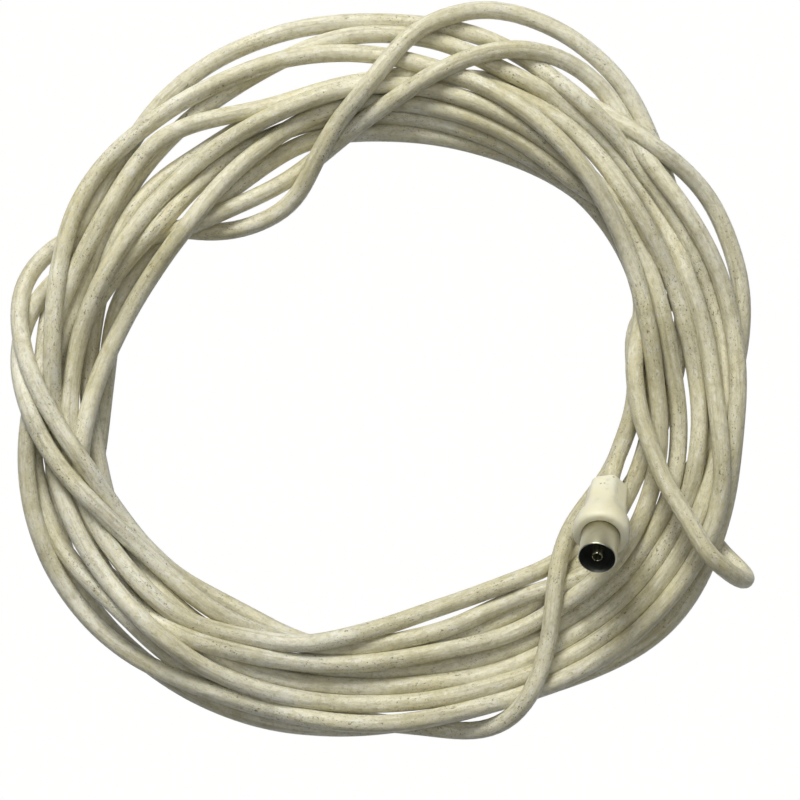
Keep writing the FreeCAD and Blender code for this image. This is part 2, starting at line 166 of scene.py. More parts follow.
# %% The turns, one by one
TURNS = [
    # from the plug, low on the inner side
    [(236, 94.6, 0.5, 5.2), (239, 93.8, 0.5, 3.6), (243, 91.6, 0.5, 2.6), (248, 87.4, 0.5),
     (252, 83.4, 1), (256, 80.6, 1), (260, 78.7, 1), (265, 77.3, 1), (270, 76.0, 1),
     (275, 75.5, 1), (280, 75.9, 1), (285, 76.2, 1), (290, 75.0, 1), (295, 73.4, 1),
     (300, 71.7, 1), (305, 70.0, 1), (310, 68.0, 1), (315, 66.9, 1.5), (320, 66.8, 1.5),
     (330, 67.1, 1.5), (335, 68.0, 1.5), (340, 69.0, 1.5), (345, 69.4, 1.5), (350, 69.3, 1.5),
     (355, 69.0, 1.5)],
    # low inside, up over the left of the coil, then under it
    [(0, 68.7, 1.5), (10, 69.3, 1.5), (20, 70.4, 1.5), (30, 72.2, 1.5), (40, 75.0, 1),
     (50, 77.6, 1), (60, 78.7, 1), (70, 78.7, 1), (80, 78.4, 1), (90, 78.1, 1), (100, 77.8, 2),
     (110, 77.6, 2), (120, 77.3, 2), (130, 77.3, 2), (140, 77.1, 2), (150, 76.4, 2),
     (160, 76.3, 2), (170, 76.2, 1), (180, 76.2, 1), (190, 77.0, 2), (195, 77.3, 2),
     (200, 76.6, 2), (205, 75.9, 2), (210, 75.7, 2), (215, 76.3, 2), (220, 77.6, 2),
     (225, 79.2, 4), (230, 80.2, 5), (235, 80.9, 6), (240, 81.5, 6), (245, 82.6, 7),
     (250, 84.0, 8), (255, 86.5, 8.5), (260, 89.5, 8.5), (265, 93.0, 8.5), (270, 97.2, 9),
     (275, 100.0, 9), (280, 102.5, 9), (283, 103.3, 9), (285, 103.2, 9), (287, 102.2, 9),
     (290, 99.8, 6), (293, 96.9, 1), (297, 91.3, 0), (301, 83.7, 0), (304, 76.2, 0),
     (308.5, 65.8, 0), (312, 60.2, 2), (319.5, 55.2, 5), (328, 53.5, 5), (336, 54.3, 7),
     (340, 58.8, 9), (345, 64.7, 9), (350, 71.4, 9), (355, 77.6, 9)],
    # over the top, inner lane below, down the left
    [(0, 85.1, 9), (5, 96.6, 9), (10, 102.5, 9), (15, 107.2, 9), (20, 109.2, 9), (25, 109.8, 9),
     (30, 109.8, 8), (35, 108.6, 8), (40, 107.2, 8), (45, 104.2, 6), (48, 101.9, 5), (55, 98.6, 1),
     (60, 95.8, 1), (70, 91.3, 1), (80, 86.8, 1), (90, 83.2, 1), (100, 80.4, 1), (110, 77.8, 1),
     (120, 75.6, 1), (130, 73.6, 2), (137, 72.0, 3), (140, 70.8, 4), (145, 68.9, 5),
     (150, 67.5, 5), (160, 66.6, 5), (165, 66.5, 5), (170, 67.2, 5), (175, 68.6, 5),
     (180, 70.3, 5), (190, 74.6, 5), (195, 77.7, 5), (200, 79.2, 4), (205, 80.6, 4),
     (210, 82.9, 4), (215, 85.4, 4), (220, 87.4, 4), (225, 88.2, 4), (230, 88.2, 4),
     (240, 89.0, 4), (245, 89.6, 4), (250, 88.8, 4), (255, 86.5, 5), (260, 83.9, 5),
     (265, 80.9, 5), (270, 78.4, 5), (275, 76.0, 5), (280, 73.6, 5), (285, 72.2, 5),
     (290, 70.6, 5), (295, 69.4, 5), (300, 68.9, 5), (305, 68.3, 5), (310, 68.6, 5),
     (315, 68.6, 5), (320, 70.0, 5), (330, 71.4, 5), (335, 72.8, 4.5), (340, 74.2, 4),
     (345, 75.6, 4), (350, 76.4, 4)],
    # under the right, across the lower right, outer lane on the left
    [(0, 77.6, 4), (20, 77.6, 4), (35, 77.6, 4), (45, 77.4, 4), (48, 78.4, 3), (52, 80.6, 2),
     (57, 83.0, 1), (65, 83.6, 1), (70, 83.2, 1), (75, 81.5, 0.5), (79, 79.4, 0.5),
     (83, 77.3, 0.5), (87, 75.7, 0.5), (91, 74.5, 0.5), (94, 73.4, 0.5), (97, 72.5, 0.5),
     (101, 71.7, 0.5), (105, 71.1, 0.5), (109, 70.8, 0.5), (112.5, 70.5, 0.5), (116, 69.8, 0.5),
     (119.5, 68.6, 2), (125, 67.8, 8), (130, 68.3, 9), (135, 71.7, 9), (140, 77.0, 9),
     (145, 84.8, 9), (150, 92.7, 9), (155, 100.0, 9), (160, 103.6, 9), (165, 103.0, 7),
     (168, 101.1, 5), (171, 99.1, 2), (175, 97.7, 2), (180, 96.6, 2), (185, 95.5, 2),
     (190, 94.9, 2), (195, 94.9, 2), (200, 96.0, 2), (205, 96.7, 3), (210, 97.2, 3),
     (215, 97.4, 3), (220, 97.3, 3), (225, 97.2, 5), (230, 97.4, 6), (235, 99.0, 6),
     (240, 100.4, 6), (245, 100.7, 6), (250, 100.0, 6), (255, 99.7, 4), (258, 99.1, 3),
     (262, 97.2, 2), (266, 95.5, 2), (270, 94.4, 2), (275, 93.8, 2), (281, 94.1, 2),
     (290, 93.8, 2), (300, 93.5, 2), (305, 93.5, 2), (310, 94.4, 2), (313, 95.2, 2),
     (316.5, 96.2, 3), (320, 97.9, 3), (325, 98.8, 4), (330, 99.7, 4), (335, 100.2, 4),
     (345, 100.4, 4), (350, 100.2, 4), (355, 100.0, 4)],
    # outer lane at the top, broad middle lane below
    [(0, 99.7, 3), (10, 100.0, 4), (18, 100.0, 4), (30, 97.4, 6), (35, 96.6, 6), (40, 96.0, 6),
     (45, 95.2, 5), (50, 93.8, 5), (60, 94.9, 5), (75, 96.0, 5), (90, 97.7, 5), (100, 97.7, 4),
     (110, 97.8, 5), (120, 98.1, 5), (130, 97.6, 5), (135, 96.9, 5), (140, 96.0, 5),
     (145, 95.1, 5), (150, 94.1, 6), (160, 92.1, 6), (170, 91.6, 6), (180, 91.4, 6),
     (190, 92.3, 6), (200, 93.5, 6.5), (210, 94.6, 7), (220, 94.9, 7), (230, 94.6, 7),
     (240, 94.9, 7), (245, 94.8, 7), (250, 94.4, 6), (256, 94.1, 3), (262, 93.0, 1),
     (268, 91.3, 1), (275, 89.3, 1), (280, 88.1, 1), (285, 87.2, 1), (290, 86.7, 1),
     (295, 86.5, 1), (300, 86.7, 1), (305, 87.1, 1), (310, 88.1, 1), (315, 88.6, 1),
     (320, 89.0, 1), (325, 89.9, 1), (330, 90.2, 1), (335, 91.1, 2), (340, 92.1, 2),
     (343, 93.0, 2), (347, 94.1, 4), (350, 95.2, 5), (355, 96.3, 5)],
    # middle lane at the top, outer lane on the right and below
    [(0, 96.6, 5), (12, 95.8, 5), (20, 93.2, 5), (30, 93.2, 5), (40, 92.1, 5), (50, 91.3, 5),
     (60, 91.0, 5), (75, 91.7, 5), (80, 92.3, 5), (85, 93.0, 5.5), (90, 93.9, 7), (95, 95.2, 7),
     (100, 97.7, 7), (105, 100.0, 7), (110, 102.3, 7), (115, 102.9, 7), (120, 102.9, 7),
     (125, 102.6, 7), (130, 102.3, 7), (135, 101.6, 7), (140, 100.8, 7), (145, 99.8, 7),
     (150, 98.7, 7), (155, 97.6, 7), (160, 96.9, 7), (175, 96.9, 7), (180, 97.2, 6),
     (190, 97.4, 6), (195, 97.4, 5), (200, 98.0, 3), (205, 98.8, 3), (210, 100.0, 3),
     (215, 101.6, 3), (218, 102.8, 4), (220, 103.6, 5), (225, 104.7, 6), (230, 105.6, 7),
     (240, 105.6, 7), (245, 104.7, 7), (250, 103.6, 7), (255, 101.9, 6), (260, 100.0, 5),
     (265, 97.7, 3), (270, 95.2, 3), (275, 93.2, 3), (281, 91.6, 3), (285, 90.7, 4),
     (290, 89.7, 4), (295, 89.3, 4), (300, 89.2, 4), (305, 89.3, 4), (310, 90.2, 5),
     (315, 91.1, 5), (318, 91.0, 5.5), (320, 90.3, 6), (322.5, 89.0, 6), (325, 87.5, 6),
     (330, 84.8, 6), (334, 82.9, 4), (338, 81.5, 2), (345, 81.5, 2), (350, 82.3, 2),
     (355, 82.9, 2)],
    # middle lane round to the upper left
    [(0, 83.7, 2), (5, 85.1, 2), (10, 86.5, 2), (15, 87.4, 2), (20, 87.5, 3), (25, 87.6, 5),
     (30, 88.5, 6), (40, 88.2, 6), (45, 87.6, 6), (50, 87.1, 6), (60, 86.2, 6), (70, 86.8, 5),
     (80, 87.5, 5), (90, 89.3, 5), (95, 90.6, 5), (100, 91.7, 5), (105, 92.5, 5), (110, 93.2, 5),
     (120, 93.4, 5), (130, 93.0, 5), (135, 92.1, 5), (140, 91.1, 5), (150, 89.9, 5),
     (160, 88.8, 5), (165, 87.6, 5), (170, 86.9, 5), (180, 86.7, 5), (190, 87.4, 5),
     (195, 88.2, 5), (200, 89.0, 5), (205, 89.9, 4), (210, 90.7, 3), (215, 90.2, 2),
     (220, 88.8, 2), (230, 88.2, 2), (235, 88.8, 2), (240, 89.0, 2), (250, 89.0, 2),
     (257, 89.6, 3), (262, 90.7, 4), (266, 91.3, 5), (270, 91.3, 6), (275, 91.6, 7),
     (280, 92.4, 7), (285, 93.8, 7), (290, 94.6, 8), (295, 96.3, 8), (300, 97.4, 8),
     (305, 97.4, 8), (310, 97.2, 8), (320, 95.5, 8), (325, 94.9, 8), (330, 94.1, 8),
     (340, 93.5, 8), (345, 93.2, 8), (350, 92.1, 7), (355, 91.6, 7)],
    # inner edge on the right, middle lane below
    [(0, 90.4, 6), (8, 89.0, 6), (15, 87.4, 6), (20, 87.1, 6), (25, 86.2, 6), (30, 85.4, 6.5),
     (35, 84.3, 7), (40, 83.4, 7), (45, 82.3, 7), (50, 81.2, 7), (60, 79.0, 7), (70, 77.6, 6),
     (80, 77.3, 6), (90, 77.7, 6), (95, 78.7, 6), (100, 80.4, 6), (105, 81.8, 5), (110, 82.6, 5),
     (115, 83.3, 5), (120, 84.0, 5), (130, 84.3, 5), (140, 82.2, 5), (145, 81.6, 5),
     (150, 81.3, 5), (155, 80.6, 5), (160, 79.5, 5), (165, 78.7, 5), (175, 78.8, 5),
     (180, 79.8, 5), (190, 81.6, 5.5), (195, 82.5, 5.5), (200, 84.1, 5.5), (205, 85.8, 5.5),
     (210, 87.4, 5), (215, 90.2, 5), (220, 91.8, 5), (226, 93.5, 4), (235, 94.1, 2.5),
     (243, 92.7, 2.5), (250, 90.4, 2.5), (256, 88.8, 3), (260, 87.6, 4), (265, 86.8, 5),
     (270, 85.7, 5), (275, 85.0, 5), (280, 84.0, 6), (285, 82.9, 6), (290, 82.2, 6),
     (295, 81.1, 6), (300, 80.5, 6), (305, 79.8, 6), (310, 79.2, 6), (315, 78.8, 6),
     (325, 78.8, 6), (335, 79.1, 6), (340, 79.5, 6), (345, 80.2, 6), (350, 81.1, 6),
     (355, 81.9, 6)],
    # below its neighbours for most of the way
    [(0, 82.5, 4), (12, 82.3, 5), (20, 82.0, 5), (30, 81.8, 5), (45, 82.0, 4), (55, 82.2, 4),
     (62, 82.0, 4), (75, 82.0, 4), (90, 82.9, 4), (95, 84.6, 4), (100, 85.7, 4), (105, 87.1, 4),
     (110, 88.1, 4), (120, 88.8, 4), (130, 88.5, 4), (140, 86.5, 4), (150, 85.4, 4),
     (155, 84.8, 4), (160, 84.0, 4), (165, 83.4, 3), (170, 82.9, 3), (180, 82.3, 2),
     (190, 83.2, 2), (200, 84.6, 1), (210, 85.3, 1), (217, 85.4, 1), (225, 85.4, 1),
     (230, 85.4, 1), (240, 84.6, 1), (250, 82.3, 2), (255, 81.5, 3), (262, 81.5, 3),
     (268, 81.3, 3), (275, 80.9, 3), (280, 80.9, 3), (285, 81.2, 2), (290, 82.0, 2),
     (300, 83.0, 2), (310, 82.9, 2), (315, 81.6, 2), (320, 80.1, 1), (325, 79.8, 1),
     (335, 80.1, 1), (345, 80.9, 1), (355, 82.3, 1)],
    # low, over the upper right, low, up over the left, then under
    [(0, 82.9, 1), (10, 85.4, 1), (20, 89.0, 1), (30, 93.2, 1), (36, 96.0, 3), (41, 98.0, 7),
     (45, 99.1, 8), (50, 101.4, 8), (55, 103.3, 8), (60, 105.6, 6), (65, 105.8, 6), (70, 105.6, 6),
     (75, 105.3, 6), (80, 103.9, 5), (85, 101.9, 3), (90, 99.7, 1), (95, 97.4, 0.5),
     (100, 94.9, 0.5), (110, 90.2, 0.5), (120, 86.2, 0.5), (130, 82.3, 0.5), (140, 76.7, 1),
     (145, 73.9, 2), (150, 72.0, 3), (160, 72.8, 3), (165, 73.1, 3), (170, 73.4, 3),
     (175, 73.9, 3), (180, 75.0, 3), (185, 76.2, 3), (190, 77.0, 3), (195, 77.8, 3),
     (200, 78.4, 3), (205, 78.8, 3), (210, 79.5, 3), (215, 80.1, 3), (220, 80.4, 4),
     (225, 80.4, 6), (230, 80.8, 7), (235, 82.3, 7.5), (240, 84.1, 8), (245, 86.5, 8),
     (250, 89.9, 8), (255, 93.0, 8), (260, 96.0, 8), (265, 98.6, 8), (270, 100.5, 8),
     (275, 101.1, 7), (278, 100.7, 6), (280, 99.5, 6), (282, 98.6, 6), (284, 97.3, 5),
     (286, 95.6, 4), (288, 93.8, 2), (291, 90.4, 0.5), (294, 86.5, 0.5), (298, 80.6, 0.5),
     (302, 75.0, 0.5), (306, 70.0, 0.5), (311, 66.1, 1), (315, 64.4, 3), (320, 62.7, 4),
     (325, 61.0, 4), (330, 60.5, 4), (335, 60.5, 6), (340, 61.6, 8), (345, 63.8, 8),
     (350, 67.2, 8), (355, 70.6, 8)],
    # over the top, outer lane on the right, down the left
    [(0, 75.0, 8), (5, 79.8, 8), (10, 86.5, 8), (15, 92.4, 8), (20, 98.0, 8), (25, 101.9, 8),
     (30, 103.3, 8), (35, 103.6, 8), (40, 101.9, 8), (44, 99.7, 7), (50, 96.9, 7), (55, 97.2, 7),
     (60, 98.0, 7), (70, 99.7, 7), (80, 100.5, 6), (90, 101.1, 6), (95, 101.1, 6), (100, 101.4, 6),
     (105, 102.5, 4), (110, 103.7, 4), (116, 105.0, 4), (120, 106.1, 4), (127, 107.0, 4),
     (132, 106.4, 4), (135, 105.6, 4), (140, 103.3, 4), (145, 101.1, 3), (150, 98.8, 2),
     (155, 97.7, 2), (160, 96.9, 2), (165, 96.6, 2), (170, 96.6, 2), (175, 96.9, 2),
     (180, 97.6, 3), (185, 98.6, 4), (190, 99.4, 5), (195, 100.5, 5), (200, 101.4, 5),
     (210, 102.5, 5), (220, 102.9, 5), (230, 102.9, 5), (237, 101.9, 4), (245, 98.6, 2),
     (250, 96.3, 1.5), (255, 94.1, 1.5), (260, 91.8, 1.5), (265, 89.9, 1.5), (270, 87.9, 1.5),
     (275, 86.2, 1.5), (280, 84.0, 2), (285, 81.8, 3), (290, 79.5, 3), (295, 77.8, 3),
     (300, 76.0, 3), (305, 74.5, 3), (310, 74.1, 3), (315, 74.2, 3), (320, 74.3, 2),
     (330, 74.2, 1), (340, 74.1, 1), (350, 74.1, 1)],
    # low, then out over the right side in a tight bight and back
    [(0, 73.6, 2), (15, 73.9, 2), (30, 74.5, 2), (40, 75.9, 2), (50, 77.3, 2), (57, 77.8, 2),
     (65, 78.1, 2), (72, 77.6, 2), (75, 76.7, 2, 3.5), (78, 75.3, 3, 5.4), (80, 74.5, 3, 6.8),
     (82, 73.2, 3, 8.2), (85, 72.2, 4, 10.2), (88, 71.8, 6, 12), (90, 71.9, 8, 13),
     (93, 72.5, 9, 14.2), (95, 73.0, 9, 14.8), (97, 73.8, 9, 15.3), (100, 75.4, 9, 16),
     (105, 79.8, 9, 17.4), (107.5, 82.3, 9, 18.2), (110, 85.7, 9, 19.4), (112.5, 90.7, 9, 21.3),
     (115, 96.6, 9, 23.8), (117, 101.4, 9, 25.7), (118.2, 105.6, 9, 26.5), (118.9, 111.6, 9, 24.9),
     (119.1, 115.9, 8, 20.5), (118.7, 117.6, 6, 14.5), (118.1, 115.9, 4, 8.5),
     (117.4, 111.6, 3, 4.1), (116.4, 105.6, 2, 2.5), (114, 100.8, 1, 2.5), (110, 96.6, 0, 2.5),
     (104, 93.5, 0, 2.5), (97, 93.0, 0, 2.5), (90, 92.7, 0, 2.5), (84, 92.4, 0, 2.5),
     (79.5, 91.0, 0, 2.5), (76.3, 87.6, 0, 2.5), (75, 82.3, 0, 2.5), (76, 77.0, 0, 2.5),
     (79.5, 73.1, 0.8, 2.5), (84, 72.0, 1.2, 2.5), (88, 72.1, 1.5, 3), (92, 72.4, 2, 4.4),
     (96.3, 72.1, 2.5, 6.4), (100.7, 71.5, 3, 7.6), (105.4, 70.8, 3, 8.1)],
]
print(len(TURNS), "stretches,", sum(len(t) for t in TURNS), "points")

# %% [markdown]
# Drawn in plan, the turns only say what lies over what. Real heights come from letting the turns
# settle: a smooth curve goes through the points, every place where two stretches come closer than
# a diameter is found, and the lower one holds the upper one up. Weight pulls everything down and
# stiffness rounds it off, so the lead goes over itself in long low humps. The three are only
# balanced, so turns that press on each other still overlap a little, and more in tight piles.

# %% Plan of the turns
def smooth_plan(turns, step):
    """Even steps along a smooth curve through the points: x, y, sprung height and layer."""
    rows = []
    for points in turns:
        for bearing, reach, layer, *sprung in points:
            a = math.radians(bearing)
            rows.append((COIL_X + reach * MM * math.sin(a), COIL_Y + reach * MM * math.cos(a),
                         (sprung[0] if sprung else 0) * MM, layer * MM))
    p = np.array(rows)
    p = np.vstack([2 * p[0] - p[1], p, 2 * p[-1] - p[-2]])
    dense = []
    for k in range(1, len(p) - 2):
        a, b, c, d = p[k - 1], p[k], p[k + 1], p[k + 2]
        t1 = np.linalg.norm(b[:3] - a[:3]) ** 0.5
        t2 = t1 + np.linalg.norm(c[:3] - b[:3]) ** 0.5
        t3 = t2 + np.linalg.norm(d[:3] - c[:3]) ** 0.5
        for t in np.linspace(t1, t2, 12, endpoint=False):
            ab = a + (b - a) * t / t1
            bc = b + (c - b) * (t - t1) / (t2 - t1)
            cd = c + (d - c) * (t - t2) / (t3 - t2)
            abc = ab + (bc - ab) * t / t2
            bcd = bc + (cd - bc) * (t - t1) / (t3 - t1)
            dense.append(abc + (bcd - abc) * (t - t1) / (t2 - t1))
    dense = np.array(dense + [p[-2]])
    run = np.r_[0, np.cumsum(np.linalg.norm(np.diff(dense[:, :3], axis=0), axis=1))]
    count = int(run[-1] / step)
    even = np.linspace(0, run[-1], count + 1)
    return np.stack([np.interp(even, run, dense[:, c]) for c in range(4)], 1)


def relaxed(plan, passes):
    """Even out small wobbles, but leave the tight bight as it is."""
    free = (plan[1:-1, 2] < 1 * MM)[:, None] * 0.5
    flat = plan.copy()
    for _ in range(passes):
        flat[1:-1, :2] += free * (0.5 * (flat[:-2, :2] + flat[2:, :2]) - flat[1:-1, :2])
    return flat


STEP = 2.5 * MM
plan = relaxed(smooth_plan(TURNS, STEP), 10)
print("plan:", len(plan), "places,", round((len(plan) - 1) * STEP, 2), "m of turns")

# %% Contacts between turns
TOUCHING = DIAMETER * 0.97
FEWEST_BETWEEN = 8


def find_contacts(plan):
    """Pairs of places nearer than a diameter in plan, and which of the two is the upper one."""
    cells = {}
    for k, (x, y) in enumerate(plan[:, :2]):
        cells.setdefault((int(x // TOUCHING), int(y // TOUCHING)), []).append(k)
    pairs = []
    for (cx, cy), members in cells.items():
        near = [k for dx in (-1, 0, 1) for dy in (-1, 0, 1)
                for k in cells.get((cx + dx, cy + dy), [])]
        for i in members:
            for j in near:
                gap = math.hypot(plan[i, 0] - plan[j, 0], plan[i, 1] - plan[j, 1])
                if j - i >= FEWEST_BETWEEN and gap < TOUCHING:
                    pairs.append((i, j, math.sqrt(DIAMETER ** 2 - gap ** 2)))
    root = {(i, j): (i, j) for i, j, _ in pairs}

    def top(pair):
        while root[pair] != pair:
            root[pair] = root[root[pair]]
            pair = root[pair]
        return pair

    for i, j, _ in pairs:
        for di in (-1, 0, 1):
            for dj in (-1, 0, 1):
                if (i + di, j + dj) in root:
                    root[top((i, j))] = top((i + di, j + dj))
    votes = {}
    for i, j, lift in pairs:
        stretch = top((i, j))
        votes[stretch] = votes.get(stretch, 0.0) + (plan[i, 3] - plan[j, 3]) * lift
    ordered = [(i, j, lift) if votes[top((i, j))] > 0 else (j, i, lift) for i, j, lift in pairs]
    upper, lower, lift = (np.array(column) for column in zip(*ordered))
    return upper.astype(int), lower.astype(int), lift, len(votes)


upper, lower, lift, stretches = find_contacts(plan)
print("contacts:", len(lift), "pairs in", stretches, "stretches")

# %% Settle the heights
SETTLING_ROUNDS = 600
DROP_PER_ROUND = 0.08 * MM
STIFFENING = 3
LAYER_START = 0.8


def evened(z, passes):
    """Heights with each one drawn halfway to the mean of its neighbours, some times over."""
    for _ in range(passes):
        z[1:-1] += 0.5 * (0.5 * (z[:-2] + z[2:]) - z[1:-1])
    return z


def settle(plan, floor, upper, lower, lift):
    """Heights after weight, stiffness and contact have been balanced a few hundred times."""
    z = floor + (plan[:, 3] - plan[:, 3].min()) * LAYER_START
    for _ in range(SETTLING_ROUNDS):
        z = evened(z - DROP_PER_ROUND, STIFFENING)
        short = np.maximum(0, lift - (z[upper] - z[lower]))
        up, down = np.zeros_like(z), np.zeros_like(z)
        np.maximum.at(up, upper, short * 0.5)
        np.maximum.at(down, lower, short * 0.5)
        z = np.maximum(z + up - down, floor)
    return z


OWN_PLACES = 30
PLUG_REAR, PLUG_RIM, PLUG_MOUTH = -1 * MM, 26.5 * MM, 37 * MM
PLUG_GRIP_RADIUS, PLUG_TUBE_RADIUS = 5.9 * MM, 4.75 * MM


def room_over_plug(plan):
    """The lowest the middle of the lead may be: on the table, or over the plug it doesn't enter."""
    floor = np.full(len(plan), RADIUS)
    for k, (x, y, sprung, _) in enumerate(plan):
        floor[k] = max(RADIUS, sprung)
        offset = Vector((x, y, 0)) - Vector((PLUG_ENTRY.x, PLUG_ENTRY.y, 0))
        along = offset.dot(PLUG_WAY)
        aside = (offset - along * PLUG_WAY).length
        reach = RADIUS + (PLUG_GRIP_RADIUS if along < PLUG_RIM else PLUG_TUBE_RADIUS)
        if PLUG_REAR < along < PLUG_MOUTH and aside < reach and k > OWN_PLACES:
            floor[k] = max(floor[k], PLUG_ENTRY.z + math.sqrt(reach ** 2 - aside ** 2))
    return floor


heights = settle(plan, room_over_plug(plan), upper, lower, lift)
print("first heights: mean %.1f mm, highest %.1f mm" % (heights.mean() / MM, heights.max() / MM))

# %% [markdown]
# The distances in the list are as the eye sees them from the camera, for a turn 6 mm up. A turn
# that rides higher is nearer the eye and looks wider than it is, so it is drawn in towards the
# spot under the eye, and the turns settle once more.

# %% Draw in the high turns
LAID_OUT_HEIGHT = 6 * MM


def drawn_in(plan, heights):
    """The true plan of turns that were laid out as seen from the eye."""
    true = plan.copy()
    pull = ((EYE_HEIGHT - heights) / (EYE_HEIGHT - LAID_OUT_HEIGHT))[:, None]
    eye = np.array((EYE_X, EYE_Y))
    true[:, :2] = eye + (plan[:, :2] - eye) * pull
    return true


true_plan = drawn_in(plan, heights)
upper, lower, lift, stretches = find_contacts(true_plan)
heights = settle(true_plan, room_over_plug(true_plan), upper, lower, lift)
true_plan = drawn_in(plan, heights)
heights = evened(heights, 6)
print("heights: mean %.1f mm, highest %.1f mm" % (heights.mean() / MM, heights.max() / MM))

# %% [markdown]
# Every second settled place becomes a control point of one NURBS spline, with a short straight
# run into a moulded connector at either end. A spline of order 3 is a smooth curve. Its order
# and its end setting come after its points, because set before they would be lost.

# %% The line of the lead
IN_SOCKET, BEFORE_SOCKET, BY_PLUG = 6 * MM, 2.6 * MM, 6 * MM


def line_object(name, points):
    """A curve with no thickness: one NURBS spline with these control points."""
    curve = bpy.data.curves.new(name, "CURVE")
    curve.dimensions = "3D"
    spline = curve.splines.new("NURBS")
    spline.points.add(len(points) - 1)
    for held, place in zip(spline.points, points):
        held.co = (*place, 1.0)
    spline.order_u = 3
    spline.use_endpoint_u = True
    spline.resolution_u = 2
    line = bpy.data.objects.new(name, curve)
    bpy.context.scene.collection.objects.link(line)
    return line


into_plug = [PLUG_ENTRY + PLUG_WAY * BY_PLUG, PLUG_ENTRY - PLUG_WAY * BY_PLUG]
turn_places = [Vector((x, y, z)) for (x, y), z in zip(true_plan[:, :2], heights)][::2]
into_socket = [SOCKET_ENTRY - SOCKET_WAY * BEFORE_SOCKET, SOCKET_ENTRY + SOCKET_WAY * IN_SOCKET]
line = line_object("lead_line", into_plug + turn_places + into_socket)
bpy.context.view_layer.update()
read = bpy.data.meshes.new_from_object(line.evaluated_get(bpy.context.evaluated_depsgraph_get()))
PATH = [v.co.copy() for v in read.vertices]
bpy.data.meshes.remove(read)
bpy.data.objects.remove(line)


def bend_radii(path):
    """Radius of the circle through every second one of five places in a row on a path."""
    radii = []
    for a, b, c in zip(path, path[2:], path[4:]):
        area = (b - a).cross(c - a).length / 2
        radii.append((b - a).length * (c - b).length * (c - a).length / max(4 * area, 1e-12))
    return radii


RADII = bend_radii(PATH)
print("tightest bend: %.1f mm" % (min(RADII) / MM))

# %% [markdown]
# The jacket is a tube swept along that line. A bevelled curve would do it in one setting, but a
# mesh can carry more: a UV map that runs along the lead, and the place of each point on the
# unrolled jacket, so that streaks can follow the lead round every bend. The ring of points is
# carried along without twisting.

# %% The jacket
SIDES = 20
UV_LENGTH = 0.1


def sweep(name, path, radius, sides):
    """A closed round tube along a path, with a UV map and an unrolled position attribute."""
    mesh_bm = bmesh.new()
    along = mesh_bm.loops.layers.uv.new("UVMap")
    run, rings, runs = 0.0, [], []
    way = (path[1] - path[0]).normalized()
    across = way.orthogonal().normalized()
    for k, place in enumerate(path):
        ahead, behind = path[min(k + 1, len(path) - 1)], path[max(k - 1, 0)]
        new_way = (ahead - behind).normalized()
        across = (way.rotation_difference(new_way) @ across)
        across = (across - across.dot(new_way) * new_way).normalized()
        way = new_way
        other = way.cross(across)
        if k:
            run += (place - path[k - 1]).length
        spokes = [math.cos(a) * across + math.sin(a) * other
                  for a in (2 * math.pi * s / sides for s in range(sides))]
        rings.append([mesh_bm.verts.new(place + radius * spoke) for spoke in spokes])
        runs.append(run)
    for k in range(len(rings) - 1):
        for s in range(sides):
            n = (s + 1) % sides
            face = mesh_bm.faces.new((rings[k][s], rings[k][n], rings[k + 1][n], rings[k + 1][s]))
            face.smooth = True
            corners = ((s, k), (s + 1, k), (s + 1, k + 1), (s, k + 1))
            for loop, (u, v) in zip(face.loops, corners):
                loop[along].uv = (runs[v] / UV_LENGTH, u / sides)
    mesh_bm.faces.new(list(reversed(rings[0])))
    mesh_bm.faces.new(rings[-1])
    mesh = bpy.data.meshes.new(name)
    mesh_bm.to_mesh(mesh)
    mesh_bm.free()
    unrolled = mesh.attributes.new("unrolled", "FLOAT_VECTOR", "POINT")
    flat = []
    for r in runs:
        for s in range(sides):
            a = 2 * math.pi * s / sides
            flat.extend((r, radius * math.cos(a), radius * math.sin(a)))
    unrolled.data.foreach_set("vector", flat)
    piece = bpy.data.objects.new(name, mesh)
    bpy.context.scene.collection.objects.link(piece)
    return piece


lead = sweep("lead_jacket", PATH, RADIUS, SIDES)
print("jacket:", len(lead.data.polygons), "faces")

# %% [markdown]
# ## Finishes
# Every finish is worked out in space, with no pictures. Node trees are long to write one node at
# a time, so a small class wraps a socket: arithmetic on it adds Math nodes, and one method adds
# any other node.

# %% Shader arithmetic
class Wire:
    """A socket of a node tree that Python can do sums with."""

    def __init__(self, tree, socket=None):
        self.tree, self.socket = tree, socket

    def node(self, kind, settings=None, inputs=None, output=0):
        """Add a node: its settings first, then the values or links of its sockets."""
        made = self.tree.nodes.new(kind)
        for key, value in (settings or {}).items():
            setattr(made, key, value)
        for key, value in (inputs or {}).items():
            if isinstance(value, Wire):
                self.tree.links.new(value.socket, made.inputs[key])
            else:
                made.inputs[key].default_value = value
        return Wire(self.tree, made.outputs[output])

    def math(self, operation, *values):
        return self.node("ShaderNodeMath", {"operation": operation}, dict(enumerate(values)))

    def __add__(self, other):
        return self.math("ADD", self, other)

    def __sub__(self, other):
        return self.math("SUBTRACT", self, other)

    def __rsub__(self, other):
        return self.math("SUBTRACT", other, self)

    def __mul__(self, other):
        return self.math("MULTIPLY", self, other)

    __radd__, __rmul__ = __add__, __mul__

    def band(self, low, high):
        """0 below low, 1 above high and a smooth step between them."""
        settings = {"interpolation_type": "SMOOTHSTEP"}
        inputs = {"Value": self, "From Min": low, "From Max": high}
        return self.node("ShaderNodeMapRange", settings, inputs)

    def noise(self, scale, detail=3.0, roughness=0.55, distortion=0.0):
        """Noise over this vector."""
        inputs = {"Vector": self, "Scale": scale, "Detail": detail, "Roughness": roughness,
                  "Distortion": distortion}
        return self.node("ShaderNodeTexNoise", None, inputs)

    def stretched(self, x, y, z):
        """This vector with its three parts scaled."""
        return self.node("ShaderNodeVectorMath", {"operation": "MULTIPLY"}, {0: self, 1: (x, y, z)})


